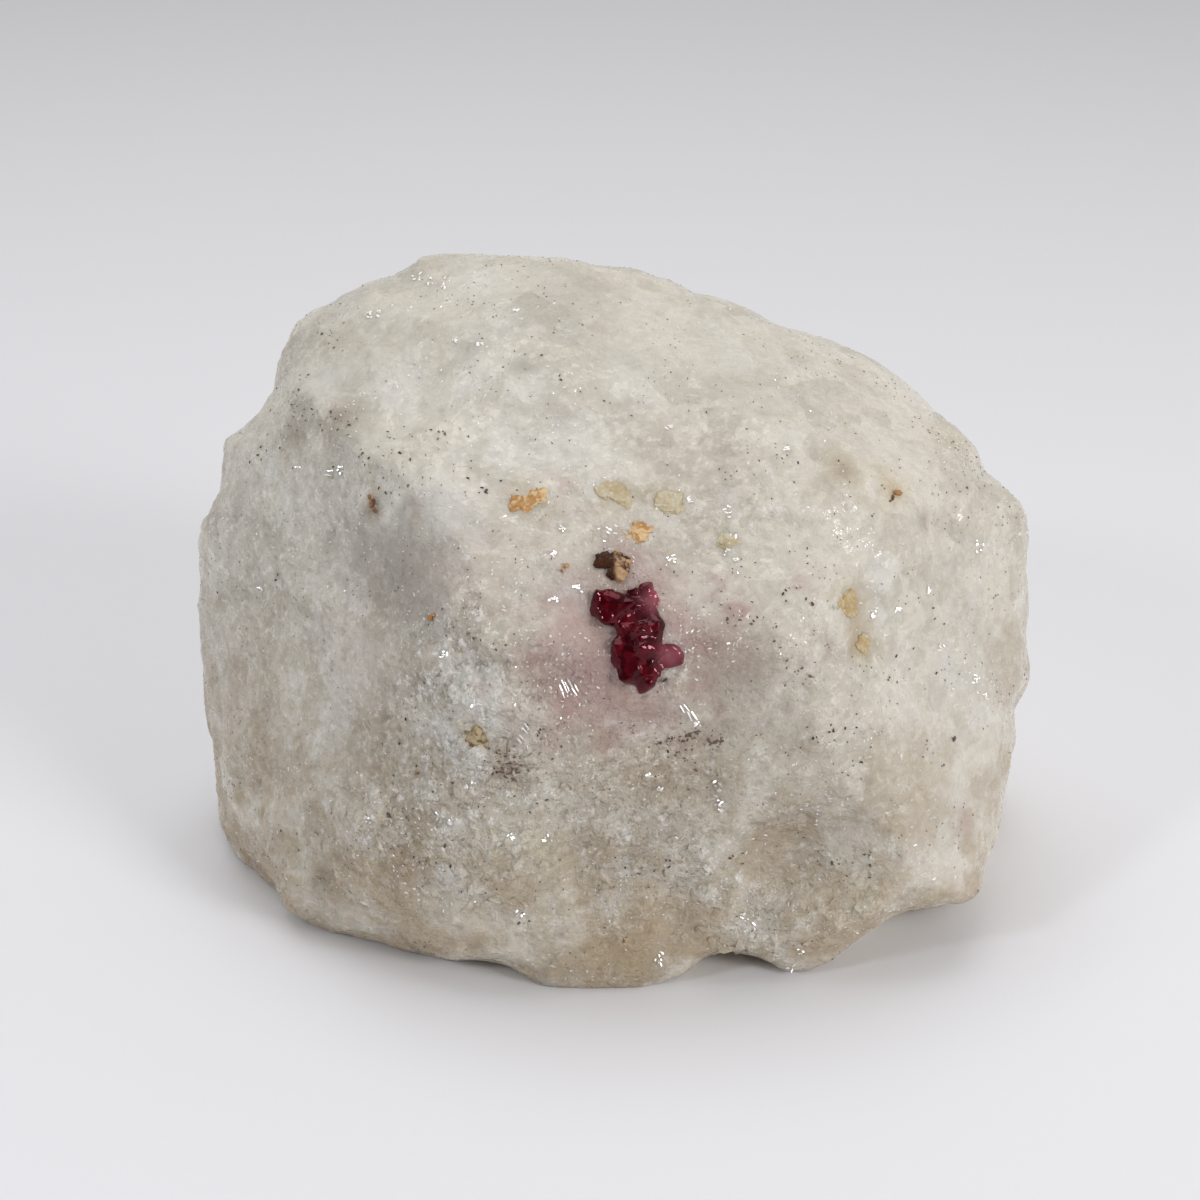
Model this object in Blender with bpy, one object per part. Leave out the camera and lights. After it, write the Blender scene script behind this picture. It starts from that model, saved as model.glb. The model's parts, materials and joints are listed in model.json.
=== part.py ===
"""Red spinel crystals grown in a hand-sized block of white marble, resting on its flattest break.

The block is shaped about its heart, a point inside it. Its break faces are given in world directions.
What shows on its show side (outline, hollows, crystals) is given in millimetres to the right of and above
the heart, as seen by someone who looks down at that side from SIGHT away.
"""

import math
import random

import bmesh
import bpy
import numpy as np
from mathutils import Matrix, Vector, kdtree, noise
from mathutils.bvhtree import BVHTree

MM = 0.001

# How the show side is seen, in millimetres and degrees
SIGHT = 194.0
SIGHT_ELEVATION = 25.0

# Block, in millimetres
HEART_HEIGHT = 25.5
EDGE_SHARPNESS = 21.0
BLOCK_TRIANGLES = 5200
LUMP_SIZE = 13.0
LUMP_HEIGHT = 0.8
BREAK_SCALES = ((9.0, 0.5), (4.5, 0.26))
RIM_BROAD = 0.55
RIM_FINE = 0.93

# Pockets that the crystals and grains sit in, in millimetres
POCKET_GAP = 0.36
GRAIN_SHARPNESS = 16.0
GRAIN_TRIANGLES = 72

# Each break face of the block: azimuth and elevation of its normal, in degrees, and its distance from the
# heart in millimetres. Azimuth 0 faces the show side, 90 the right, 180 the back.
BREAK_FACES = {
    "base": (0, -90, 26.8),
    "front": (4, -4, 23.7),
    "front_left": (-24, -6, 26.3),
    "front_slope": (6, 44, 21.9),
    "top": (14, 66, 23.2),
    "top_left": (-28, 62, 25.5),
    "top_right": (60, 52, 28.8),
    "top_back": (185, 62, 30.0),
    "left_front": (-50, 8, 24.5),
    "left": (-88, 4, 34.0),
    "left_upper": (-82, 34, 33.0),
    "left_under": (-40, -42, 29.5),
    "right_front": (50, 10, 28.5),
    "right": (88, 0, 35.5),
    "right_under": (62, -34, 33.5),
    "back": (178, 6, 25.5),
    "back_left": (-135, 8, 30.0),
    "back_right": (132, 12, 30.5),
    "back_under": (190, -40, 31.0),
}

# The outline that the show side has, clockwise from the left, as (right, up) of the heart in millimetres
OUTLINE = (
    (-35.0, 4.7), (-34.3, 6.9), (-33.2, 8.8), (-32.9, 10.4), (-32.7, 13.0), (-32.3, 14.1),
    (-30.8, 14.9), (-28.8, 17.5), (-28.1, 18.6), (-27.6, 21.2), (-26.0, 24.4), (-25.1, 25.1),
    (-23.4, 25.5), (-22.1, 26.6), (-19.1, 28.0), (-18.0, 28.2), (-15.6, 29.7), (-14.3, 30.0),
    (-11.3, 30.1), (-7.8, 29.9), (-4.3, 29.7), (-1.7, 29.5), (0.0, 29.0), (3.5, 28.6),
    (4.8, 27.9), (5.9, 27.9), (8.2, 26.7), (9.4, 26.6), (12.1, 25.7), (13.9, 24.7),
    (15.6, 23.6), (19.1, 22.8), (24.1, 20.7), (26.0, 19.4), (28.2, 17.4), (29.9, 15.7),
    (31.4, 14.6), (32.9, 13.0), (33.3, 11.2), (34.7, 10.4), (37.1, 7.6), (36.8, 4.5),
    (37.2, 0.5), (37.0, -3.5), (37.3, -6.2), (37.1, -7.6), (35.8, -9.3), (36.0, -12.3),
    (35.1, -16.5), (34.7, -19.1), (33.4, -23.4), (32.8, -25.6), (31.2, -26.3), (27.3, -26.7),
    (25.4, -27.1), (22.5, -29.0), (20.4, -31.0), (18.4, -32.2), (16.9, -32.4), (16.0, -32.2),
    (14.3, -31.1), (12.6, -30.7), (10.8, -30.5), (9.4, -30.8), (8.2, -31.5), (6.9, -32.8),
    (5.2, -33.3), (3.5, -33.9), (-2.6, -34.0), (-4.8, -33.8), (-6.1, -33.0), (-8.2, -31.6),
    (-9.5, -31.5), (-12.6, -31.7), (-15.6, -31.4), (-17.3, -31.7), (-18.6, -31.3), (-19.5, -30.5),
    (-21.2, -30.1), (-24.1, -28.7), (-27.7, -27.1), (-29.3, -25.7), (-31.6, -22.7), (-32.5, -20.8),
    (-32.9, -19.1), (-33.4, -13.0), (-34.3, -8.2), (-34.1, -6.5), (-34.7, -2.6), (-34.7, 1.7),
)

# Hollows of the show side: right, up, half width, half height, turn in degrees, depth, and how softly the
# rim runs out, from 1 for crisp
HOLLOWS = {
    "beside_left_ridge": (-17.8, 2.6, 6.5, 12.0, 30.0, 2.8, 1.6),
    "left_shoulder": (-26.0, 13.0, 6.0, 6.0, 0.0, 0.7, 2.0),
    "under_left_ledge": (-7.0, -6.5, 9.0, 3.0, 0.0, 0.8, 2.0),
    "under_right_ledge": (13.0, -6.5, 9.5, 3.6, -8.0, 1.0, 2.0),
    "lower_right_scallop": (17.5, -21.0, 7.0, 5.5, 25.0, 2.4, 1.4),
    "lower_middle": (7.0, -25.0, 3.0, 6.5, -10.0, 1.0, 2.0),
    "lower_left": (-18.0, -22.5, 8.0, 5.0, 0.0, 0.8, 2.0),
    "right_side": (22.0, 0.0, 3.5, 8.0, -6.0, 0.8, 2.0),
    "under_right_foot": (25.0, -28.0, 4.0, 2.5, 25.0, 1.5, 2.0),
}

# Spinel crystals that have grown into one another: right, up, and half width, half height and half depth,
# then how far the middle stands out of the marble
SPINEL_CRYSTALS = (
    (1.05, -0.70, 1.75, 1.55, 1.25, 0.35),
    (2.40, -1.85, 0.75, 0.75, 0.80, 0.20),
    (3.65, -0.60, 1.05, 0.70, 0.80, 0.10),
    (4.05, 0.75, 0.65, 0.85, 0.70, 0.00),
    (4.55, 0.05, 0.55, 0.65, 0.60, 0.00),
    (4.40, -1.20, 0.60, 0.80, 0.60, 0.05),
    (4.75, -2.35, 0.80, 1.15, 0.95, 0.20),
    (3.20, -2.80, 1.70, 0.95, 1.10, 0.40),
    (2.15, -4.60, 1.25, 1.45, 1.10, 0.35),
    (3.95, -4.40, 1.20, 1.40, 1.15, 0.45),
    (2.65, -6.15, 1.20, 1.05, 1.00, 0.30),
    (4.15, -5.95, 0.95, 1.05, 0.95, 0.25),
    (3.90, -7.05, 0.90, 0.85, 0.85, 0.20),
    (5.20, -4.45, 0.60, 0.45, 0.50, 0.00),
    (6.30, -4.85, 1.00, 1.05, 0.80, 0.00),
)

# Other grains, each of one or more lumps: right, up, half width, half height, half depth, turn in degrees
# and how far the middle stands out of the marble
GRAINS = {
    "brown_grain": (
        (0.55, 3.50, 0.85, 0.60, 0.70, 0.0, -0.10),
        (1.75, 2.85, 0.75, 1.15, 0.85, -20.0, 0.00),
    ),
    "orange_grain_left": (
        (-6.80, 8.35, 1.10, 0.75, 0.80, 10.0, -0.35),
        (-5.35, 8.95, 1.15, 0.65, 0.80, 25.0, -0.35),
    ),
    "orange_grain_middle": ((3.55, 5.95, 0.85, 0.80, 0.80, 0.0, -0.30),),
    "yellow_grain_left": ((1.55, 9.25, 1.50, 0.95, 0.90, -20.0, -0.45),),
    "yellow_grain_round": ((6.00, 8.40, 1.15, 0.90, 0.90, 15.0, -0.20),),
    "yellow_grain_right": ((11.00, 5.10, 0.85, 0.75, 0.80, 0.0, -0.25),),
    "amber_grain": ((21.70, -0.35, 1.25, 1.10, 1.00, 10.0, -0.35),),
    "amber_grain_small": ((22.80, -3.90, 0.80, 0.85, 0.80, 0.0, -0.20),),
    "olive_grain": ((-10.90, -11.90, 0.90, 0.95, 0.85, 0.0, -0.15),),
}

GRAIN_COLOURS = {
    "brown_grain": (0.12, 0.055, 0.03),
    "orange_grain_left": (0.50, 0.24, 0.07),
    "orange_grain_middle": (0.50, 0.24, 0.07),
    "yellow_grain_left": (0.52, 0.42, 0.24),
    "yellow_grain_round": (0.55, 0.42, 0.20),
    "yellow_grain_right": (0.52, 0.42, 0.24),
    "amber_grain": (0.45, 0.33, 0.16),
    "amber_grain_small": (0.45, 0.33, 0.16),
    "olive_grain": (0.28, 0.22, 0.12),
}

SPINEL_RED = (0.13, 0.008, 0.02)
MARBLE_WHITE = (0.55, 0.51, 0.46)

tilt = math.radians(SIGHT_ELEVATION)
RIGHT = np.array((1.0, 0.0, 0.0))
UP = np.array((0.0, math.sin(tilt), math.cos(tilt)))
NEAR = np.array((0.0, -math.cos(tilt), math.sin(tilt)))


def clear_scene():
    for obj in list(bpy.data.objects):
        bpy.data.objects.remove(obj)


def new_collection(name):
    made = bpy.data.collections.new(name)
    bpy.context.scene.collection.children.link(made)
    return made


def new_material(name, colour, roughness):
    made = bpy.data.materials.new(name)
    made.use_nodes = True
    shader = made.node_tree.nodes["Principled BSDF"]
    shader.inputs["Base Color"].default_value = (*colour, 1.0)
    shader.inputs["Roughness"].default_value = roughness
    shader.inputs["Metallic"].default_value = 0.0
    return made


def new_object(name, shape, home, finish=None):
    mesh = bpy.data.meshes.new(name)
    shape.to_mesh(mesh)
    shape.free()
    if finish:
        mesh.materials.append(finish)
    made = bpy.data.objects.new(name, mesh)
    home.objects.link(made)
    return made


def apply_modifiers(obj):
    graph = bpy.context.evaluated_depsgraph_get()
    obj.data = bpy.data.meshes.new_from_object(obj.evaluated_get(graph))
    obj.modifiers.clear()


def direction(azimuth, elevation):
    a, e = math.radians(azimuth), math.radians(elevation)
    return np.array((math.sin(a) * math.cos(e), -math.cos(a) * math.cos(e), math.sin(e)))


def between_faces(rays, normals, distances, sharpness):
    """Where each ray from the middle leaves the space between flat faces whose edges are rounded."""
    facing = np.clip(rays @ np.array(normals).T, 0.0, None) / np.array(distances)
    return rays * (facing**sharpness).sum(axis=1)[:, None] ** (-1.0 / sharpness)


def show_view(points):
    """(right, up, near) of points about the heart, the first two as seen from SIGHT away."""
    near = points @ NEAR
    closer = SIGHT / (SIGHT - near)
    return points @ RIGHT * closer, points @ UP * closer, near


def from_show_view(right, up, near):
    farther = (SIGHT - near) / SIGHT
    return np.outer(right * farther, RIGHT) + np.outer(up * farther, UP) + np.outer(near, NEAR)


def hollowed(points):
    """Presses the hollows into the show side, away from the viewer."""
    right, up, near = show_view(points)
    pressed = near.copy()
    for at_right, at_up, half_width, half_height, turn, depth, softness in HOLLOWS.values():
        t = math.radians(turn)
        x, y = right - at_right, up - at_up
        along, across = x * math.cos(t) + y * math.sin(t), y * math.cos(t) - x * math.sin(t)
        inside = 1.0 - (along / half_width) ** 2 - (across / half_height) ** 2
        pressed -= np.where(near > 0.0, depth * np.clip(inside, 0.0, None) ** softness, 0.0)
    return from_show_view(right, up, pressed)


def broken_relief(points, cell, height, seed):
    """Height of small break faces: each cell of the marble ends in its own tilted, shifted plane."""
    rng = np.random.default_rng(seed)
    low, high = points.min(0) - cell, points.max(0) + cell
    count = int(np.prod((high - low) / cell))
    seeds = rng.uniform(low, high, (count, 3))
    slopes = rng.normal(0.0, 0.6, (count, 3))
    steps = rng.uniform(-0.5, 0.5, count)
    tree = kdtree.KDTree(count)
    for index, at in enumerate(seeds):
        tree.insert(at, index)
    tree.balance()
    relief = np.empty(len(points))
    for i, point in enumerate(points):
        (_, a, near_a), (_, b, near_b) = tree.find_n(point, 2)
        share = 0.5 + 0.5 * min((near_b - near_a) / (0.3 * cell), 1.0)
        plane_a = slopes[a] @ (point - seeds[a]) / cell + steps[a]
        plane_b = slopes[b] @ (point - seeds[b]) / cell + steps[b]
        relief[i] = height * (share * plane_a + (1.0 - share) * plane_b)
    return relief


def lumps(points):
    return LUMP_HEIGHT * np.array([noise.noise(Vector(point / LUMP_SIZE)) for point in points])


def eased(amount):
    amount = np.clip(amount, 0.0, 1.0)
    return amount * amount * (3.0 - 2.0 * amount)


def fitted_to_outline(points):
    """Draws the rim of the show side onto OUTLINE, its broad form from far inside and its notches only
    close to the rim, and leaves the middle of both sides alone."""
    right, up, near = show_view(points)
    angle, reach = np.arctan2(up, right), np.hypot(right, up)
    turns = np.linspace(-math.pi, math.pi, 241)
    middles = (turns[1:] + turns[:-1]) / 2
    sector = np.clip(np.digitize(angle, turns) - 1, 0, len(middles) - 1)
    rim = np.array([reach[sector == s].max() for s in range(len(middles))])
    outline_right, outline_up = np.array(OUTLINE).T
    outline_angle = np.arctan2(outline_up, outline_right)
    order = np.argsort(outline_angle)
    outline = np.hypot(outline_right, outline_up)[order]
    wanted = np.interp(middles, outline_angle[order], outline, period=2 * math.pi) / rim - 1.0
    broad = sum(np.roll(wanted, shift) for shift in range(-10, 11)) / 21
    inward = reach / np.interp(angle, middles, rim, period=2 * math.pi)
    stretch = 1.0
    for part, start in ((broad, RIM_BROAD), (wanted - broad, RIM_FINE)):
        part = np.interp(angle, middles, part, period=2 * math.pi)
        stretch = stretch + part * eased((inward - start) / (1.0 - start))
    return from_show_view(right * stretch, up * stretch, near)


def marble_block(home, finish):
    """The block, still whole, with its origin at the middle of its base. Returns it and its heart."""
    shape = bmesh.new()
    bmesh.ops.create_icosphere(shape, subdivisions=7, radius=1.0)
    rays = np.array([vertex.co.normalized() for vertex in shape.verts])
    normals = [direction(azimuth, elevation) for azimuth, elevation, _ in BREAK_FACES.values()]
    distances = [distance for _, _, distance in BREAK_FACES.values()]
    points = hollowed(between_faces(rays, normals, distances, EDGE_SHARPNESS))
    relief = lumps(points)
    for number, (cell, height) in enumerate(BREAK_SCALES):
        relief += broken_relief(points, cell, height, 20 + number)
    points = fitted_to_outline(points + rays * relief[:, None])
    for vertex, point in zip(shape.verts, points):
        vertex.co = Vector(point) * MM
    block = thinned(new_object("marble_matrix", shape, home, finish), BLOCK_TRIANGLES)
    cut_flat_base(block)
    corners = np.array([vertex.co for vertex in block.data.vertices])
    middle = (corners.min(axis=0) + corners.max(axis=0)) / 2
    heart = Vector((-middle[0], -middle[1], HEART_HEIGHT * MM))
    block.data.transform(Matrix.Translation(heart))
    return block, heart


def cut_flat_base(block):
    shape = bmesh.new()
    shape.from_mesh(block.data)
    cut = bmesh.ops.bisect_plane(
        shape,
        geom=shape.verts[:] + shape.edges[:] + shape.faces[:],
        dist=0.00001,
        plane_co=(0, 0, -HEART_HEIGHT * MM),
        plane_no=(0, 0, 1),
        clear_inner=True,
    )
    rim = [edge for edge in cut["geom_cut"] if isinstance(edge, bmesh.types.BMEdge)]
    bmesh.ops.holes_fill(shape, edges=rim)
    bmesh.ops.triangulate(shape, faces=shape.faces[:])
    bmesh.ops.recalc_face_normals(shape, faces=shape.faces[:])
    shape.to_mesh(block.data)
    shape.free()


def surface_at(tree, heart, right, up, spread=1.2):
    """The point of the show side that is seen at (right, up), and the mean direction it faces there."""
    eye = heart + Vector(NEAR) * SIGHT * MM
    found = []
    for x, y in ((0, 0), (spread, 0), (-spread, 0), (0, spread), (0, -spread)):
        seen = Vector(RIGHT) * (right + x) * MM + Vector(UP) * (up + y) * MM
        found.append(tree.ray_cast(eye, (heart + seen - eye).normalized()))
    facing = sum((normal for _, normal, _, _ in found), Vector()).normalized()
    return found[0][0], facing


def crystal_shape(seed, octahedral):
    """A lump between flat faces: (rays, surface points), about one across from the middle to a face."""
    rng = random.Random(seed)
    if octahedral:
        normals = [Vector((x, y, z)) for x in (-1, 1) for y in (-1, 1) for z in (-1, 1)]
        edges = [Vector((x, y, 0)) for x in (-1, 1) for y in (-1, 1)]
        normals += edges + [edge.zxy for edge in edges] + [edge.yzx for edge in edges]
        distances = [rng.uniform(0.80, 0.92) for _ in range(8)]
        distances += [rng.uniform(0.90, 1.02) for _ in range(12)]
    else:
        normals = [Vector((x, y, z)) for x, y, z in np.vstack((np.eye(3), -np.eye(3)))]
        normals += [Vector([rng.gauss(0, 1) for _ in range(3)]) for _ in range(9)]
        distances = [rng.uniform(0.85, 1.0) for _ in normals]
    turned = Matrix.Rotation(rng.uniform(0, 6.28), 3, Vector([rng.gauss(0, 1) for _ in range(3)]))
    return [turned @ normal.normalized() for normal in normals], distances


def lump(place, half_sizes, turn, seed, octahedral, grow):
    """A closed crystal or grain at a place (point, facing) of the marble, grown outwards by grow."""
    shape = bmesh.new()
    bmesh.ops.create_icosphere(shape, subdivisions=4, radius=1.0)
    rays = np.array([vertex.co.normalized() for vertex in shape.verts])
    normals, distances = crystal_shape(seed, octahedral)
    points = between_faces(rays, normals, distances, GRAIN_SHARPNESS)
    points *= np.array(half_sizes) + grow
    point, facing = place
    side = (Vector(RIGHT) - facing * facing.dot(Vector(RIGHT))).normalized()
    turned = Matrix((side, facing.cross(side), facing)).transposed() @ Matrix.Rotation(turn, 3, "Z")
    for vertex, at in zip(shape.verts, points):
        vertex.co = point + turned @ Vector(at) * MM
    return shape


def thinned(obj, triangles):
    thin = obj.modifiers.new("even faces", "DECIMATE")
    thin.ratio = triangles / len(obj.data.polygons)
    apply_modifiers(obj)
    return obj


def joined(name, shapes, home, finish=None):
    """One closed solid of several that have grown into one another."""
    whole = thinned(new_object(name, shapes[0], home, finish), GRAIN_TRIANGLES)
    for number, shape in enumerate(shapes[1:]):
        other = thinned(new_object(f"{name} {number}", shape, home), GRAIN_TRIANGLES)
        union = whole.modifiers.new("grown together", "BOOLEAN")
        union.solver = "EXACT"
        union.operation = "UNION"
        union.object = other
        apply_modifiers(whole)
        bpy.data.objects.remove(other)
    return whole


def crystal_shapes(tree, heart, crystals, seed, octahedral, grow):
    shapes = []
    for number, (right, up, wide, high, deep, turn, out) in enumerate(crystals):
        point, facing = surface_at(tree, heart, right, up)
        place = (point + facing * out * MM, facing)
        half_sizes = (wide, high, deep)
        shapes.append(lump(place, half_sizes, math.radians(turn), seed + number, octahedral, grow))
    return shapes


def main():
    clear_scene()
    parts = new_collection("spinel in marble")
    cutters = new_collection("pockets")
    cutters.hide_render = True
    marble = new_material("white marble", MARBLE_WHITE, 0.6)
    spinel = new_material("red spinel", SPINEL_RED, 0.12)

    block, heart = marble_block(parts, marble)
    tree = BVHTree.FromObject(block, bpy.context.evaluated_depsgraph_get())

    sets = {"spinel_cluster": ([(*crystal[:5], 0.0, crystal[5]) for crystal in SPINEL_CRYSTALS], spinel)}
    for name, grain in GRAINS.items():
        sets[name] = (grain, new_material(name.replace("_", " "), GRAIN_COLOURS[name], 0.35))
    for number, (name, (crystals, finish)) in enumerate(sets.items()):
        octahedral = name == "spinel_cluster"
        seed = 100 * (number + 1)
        joined(name, crystal_shapes(tree, heart, crystals, seed, octahedral, 0.0), parts, finish)
        pocket = joined(
            f"{name}_pocket", crystal_shapes(tree, heart, crystals, seed, octahedral, POCKET_GAP), cutters
        )
        pocket.display_type = "WIRE"
    cut = block.modifiers.new("pockets", "BOOLEAN")
    cut.solver = "EXACT"
    cut.operation = "DIFFERENCE"
    cut.operand_type = "COLLECTION"
    cut.collection = cutters
    print("heart of the block in metres:", [round(c, 5) for c in heart])
    return heart


if __name__ == "__main__":
    main()
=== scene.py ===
# %% [markdown]
# # A cluster of red spinel in a block of white marble
#
# The stone is one natural piece: a fist of coarse marble, broken on all sides, with a small cluster of
# wine-red crystals and a few brown, orange and amber grains grown into its front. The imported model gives
# its solids as a fixed frame, and this lesson dresses them: the sugary break of the marble, its stains
# and flecks, and the glossy crystals.

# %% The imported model
import json
import math
import random

import bpy
import numpy as np
from mathutils import Matrix, Vector, kdtree, noise
from mathutils.bvhtree import BVHTree

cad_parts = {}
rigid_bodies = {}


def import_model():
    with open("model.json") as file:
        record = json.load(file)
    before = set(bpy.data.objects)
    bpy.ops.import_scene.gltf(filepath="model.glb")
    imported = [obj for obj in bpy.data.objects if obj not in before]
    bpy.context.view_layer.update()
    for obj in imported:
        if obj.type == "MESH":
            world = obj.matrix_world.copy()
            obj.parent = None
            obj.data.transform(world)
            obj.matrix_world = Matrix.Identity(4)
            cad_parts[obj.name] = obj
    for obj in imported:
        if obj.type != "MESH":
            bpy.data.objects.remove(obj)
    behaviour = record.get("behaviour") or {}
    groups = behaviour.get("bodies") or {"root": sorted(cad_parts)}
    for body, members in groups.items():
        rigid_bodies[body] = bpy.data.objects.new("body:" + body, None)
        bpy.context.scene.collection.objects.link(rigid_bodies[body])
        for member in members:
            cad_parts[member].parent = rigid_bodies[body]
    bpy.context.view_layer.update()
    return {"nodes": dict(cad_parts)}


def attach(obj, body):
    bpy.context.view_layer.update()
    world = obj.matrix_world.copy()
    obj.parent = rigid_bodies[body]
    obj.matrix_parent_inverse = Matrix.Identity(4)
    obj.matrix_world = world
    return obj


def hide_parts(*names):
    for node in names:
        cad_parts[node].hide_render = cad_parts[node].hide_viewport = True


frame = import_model()
nodes = frame["nodes"]
MM = 0.001
print("nodes:", sorted(nodes))

# %% [markdown]
# ## Where the camera stands
#
# Everything small on this stone is placed by where it is seen, so the camera comes first. The photograph
# looks down at the front by about 25 degrees, and the stone fills two thirds of its width. The heart is
# the point in the stone that the middle of the photograph looks at.

# %% The camera
HEART = Vector((-0.00077, -0.00142, 0.0255))
SIGHT = 0.194
ELEVATION = math.radians(25.0)
FRAME_WIDTH = 0.104
PHOTO = 1200
RIGHT = Vector((1, 0, 0))
UP = Vector((0, math.sin(ELEVATION), math.cos(ELEVATION)))
NEAR = Vector((0, -math.cos(ELEVATION), math.sin(ELEVATION)))

lens = bpy.data.cameras.new("camera")
lens.sensor_width = 36
lens.lens = 36 * SIGHT / FRAME_WIDTH
lens.clip_start = 0.01
camera = bpy.data.objects.new("camera", lens)
camera.location = HEART + NEAR * SIGHT
camera.rotation_euler = (math.radians(90) - ELEVATION, 0, 0)
bpy.context.scene.collection.objects.link(camera)
bpy.context.scene.camera = camera
bpy.context.scene.view_settings.view_transform = "Standard"
print("lens of", round(lens.lens, 1), "mm at", round(SIGHT * 1000), "mm from the heart of the stone")

# %% [markdown]
# ## Helpers for working as by hand
#
# A modelling operator acts on everything that is selected, so each piece is made alone: all else is
# deselected first. A finished piece rests on the one body of the model.

# %% Selecting, and applying modifiers


def alone(piece):
    bpy.ops.object.select_all(action="DESELECT")
    piece.select_set(True)
    bpy.context.view_layer.objects.active = piece
    return piece


def applied(piece, kind, **settings):
    """Adds a modifier to a piece with these settings and applies it."""
    alone(piece)
    modifier = piece.modifiers.new(kind.title(), kind)
    for setting, value in settings.items():
        setattr(modifier, setting, value)
    bpy.ops.object.modifier_apply(modifier=modifier.name)
    return piece


def remeshed(piece, voxel):
    """Gives a piece an even mesh, with faces of about this size."""
    alone(piece)
    piece.data.remesh_voxel_size = voxel
    bpy.ops.object.voxel_remesh()


def triangles(piece):
    piece.data.calc_loop_triangles()
    return len(piece.data.loop_triangles)


def copied(name, *solids):
    """A new piece with the merged meshes of these solids of the model."""
    copies = []
    for solid in solids:
        copies.append(bpy.data.objects.new(name, nodes[solid].data.copy()))
        bpy.context.scene.collection.objects.link(copies[-1])
    piece = alone(copies[0])
    for other in copies[1:]:
        other.select_set(True)
    if len(copies) > 1:
        bpy.ops.object.join()
    piece.data.materials.clear()
    bpy.ops.object.mode_set(mode="EDIT")
    bpy.ops.mesh.select_all(action="SELECT")
    bpy.ops.mesh.remove_doubles(threshold=0.000002)
    bpy.ops.mesh.select_mode(type="FACE")
    bpy.ops.mesh.select_all(action="DESELECT")
    bpy.ops.object.mode_set(mode="OBJECT")
    return piece


# %% [markdown]
# ## The marble: closing the pockets
#
# In the solids each crystal sits in a pocket with a thin gap around it. On the real stone the crystals
# have grown tight into the marble. So on a copy of the marble the faces of the pockets are taken out, and
# the holes that they leave are filled. The crystals then stand out of an unbroken surface.

# %% The marble without pockets
MARBLE = "marble_matrix"
CRYSTALS = "spinel_cluster"
GRAINS = sorted(set(nodes) - {MARBLE, CRYSTALS})
POCKET_REACH = 0.00062  # metres from a crystal, within which the marble's faces are its pocket

marble = copied("marble_block", MARBLE)
grown_in = copied("all that is grown in", CRYSTALS, *GRAINS)
close_to = BVHTree.FromObject(grown_in, bpy.context.evaluated_depsgraph_get())
bpy.data.objects.remove(grown_in)
for polygon in marble.data.polygons:
    polygon.select = close_to.find_nearest(polygon.center, POCKET_REACH)[0] is not None
taken = sum(polygon.select for polygon in marble.data.polygons)
alone(marble)
bpy.ops.object.mode_set(mode="EDIT")
bpy.ops.mesh.select_more()
bpy.ops.mesh.select_less()
bpy.ops.mesh.delete(type="FACE")
bpy.ops.mesh.select_mode(type="VERT")
bpy.ops.object.mode_set(mode="OBJECT")
lowest = min(marble.data.vertices, key=lambda vertex: vertex.co.z)
lowest.select = True
bpy.ops.object.mode_set(mode="EDIT")
bpy.ops.mesh.select_linked()
bpy.ops.mesh.select_all(action="INVERT")
bpy.ops.mesh.delete(type="VERT")
bpy.ops.mesh.select_non_manifold()
bpy.ops.mesh.fill_holes(sides=0)
bpy.ops.mesh.select_all(action="SELECT")
bpy.ops.mesh.quads_convert_to_tris()
bpy.ops.mesh.normals_make_consistent(inside=False)
bpy.ops.mesh.select_all(action="DESELECT")
bpy.ops.mesh.select_non_manifold()
bpy.ops.object.mode_set(mode="OBJECT")
open_points = sum(vertex.select for vertex in marble.data.vertices)
print("points on an open or doubled edge:", open_points)
print("pocket faces taken out:", taken)

# %% [markdown]
# ## The marble: its broken surface
#
# Coarse marble is a mass of calcite grains a millimetre or two across, and it breaks along them: each
# grain ends in its own small plane, tilted a little from its neighbour's. Sculpting that by hand would
# take days, and a noise texture would look like melted wax. Here the block is remeshed finely and evenly,
# and each point is then moved by the plane of the grain that it belongs to. The top and the right side
# broke more smoothly than the front, so there the planes stand out less.

# %% A fine, even mesh
VOXEL = 0.00045
remeshed(marble, VOXEL)
applied(marble, "SMOOTH", factor=0.5, iterations=5)
print("marble:", triangles(marble), "triangles")

# %% The planes of the grains
STEEPNESS = 0.6  # how much the planes tilt from one grain to the next
SHARED_EDGE = 0.22  # the share of a grain's size over which two planes blend
SEAM_WIDTH = 0.0004


def grain_planes(points, size, height, seed, gaps=None):
    """How far each point stands out when every grain of about this size ends in its own tilted plane.

    gaps, if given, gathers how near each point is to the seam between two grains, up to 1.
    """
    rng = np.random.default_rng(seed)
    low, high = points.min(0) - size, points.max(0) + size
    count = int(np.prod((high - low) / size))
    seeds = rng.uniform(low, high, (count, 3))
    near_surface = kdtree.KDTree(count)
    for index, at in enumerate(seeds):
        near_surface.insert(at, index)
    near_surface.balance()
    slopes = rng.normal(0.0, STEEPNESS, (count, 3))
    steps = rng.uniform(-0.5, 0.5, count)
    found = [near_surface.find_n(point, 2) for point in points]
    own = np.array([pair[0][1] for pair in found])
    next_one = np.array([pair[1][1] for pair in found])
    apart = np.array([pair[1][2] - pair[0][2] for pair in found])
    share = 0.5 + 0.5 * np.clip(apart / (SHARED_EDGE * size), 0, 1)
    if gaps is not None:
        np.maximum(gaps, np.exp(-((apart / SEAM_WIDTH) ** 2)), out=gaps)
    plane = [((points - seeds[g]) * slopes[g]).sum(1) / size + steps[g] for g in (own, next_one)]
    return height * (share * plane[0] + (1 - share) * plane[1])


def mesh_array(piece, what="co"):
    source = piece.data.vertices
    if what == "normal":
        source = piece.data.vertex_normals
        what = "vector"
    values = np.empty(len(source) * 3, np.float32)
    source.foreach_get(what, values)
    return values.reshape(-1, 3).astype(float)


def move_to(piece, points):
    piece.data.vertices.foreach_set("co", points.astype(np.float32).ravel())
    piece.data.update()


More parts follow.
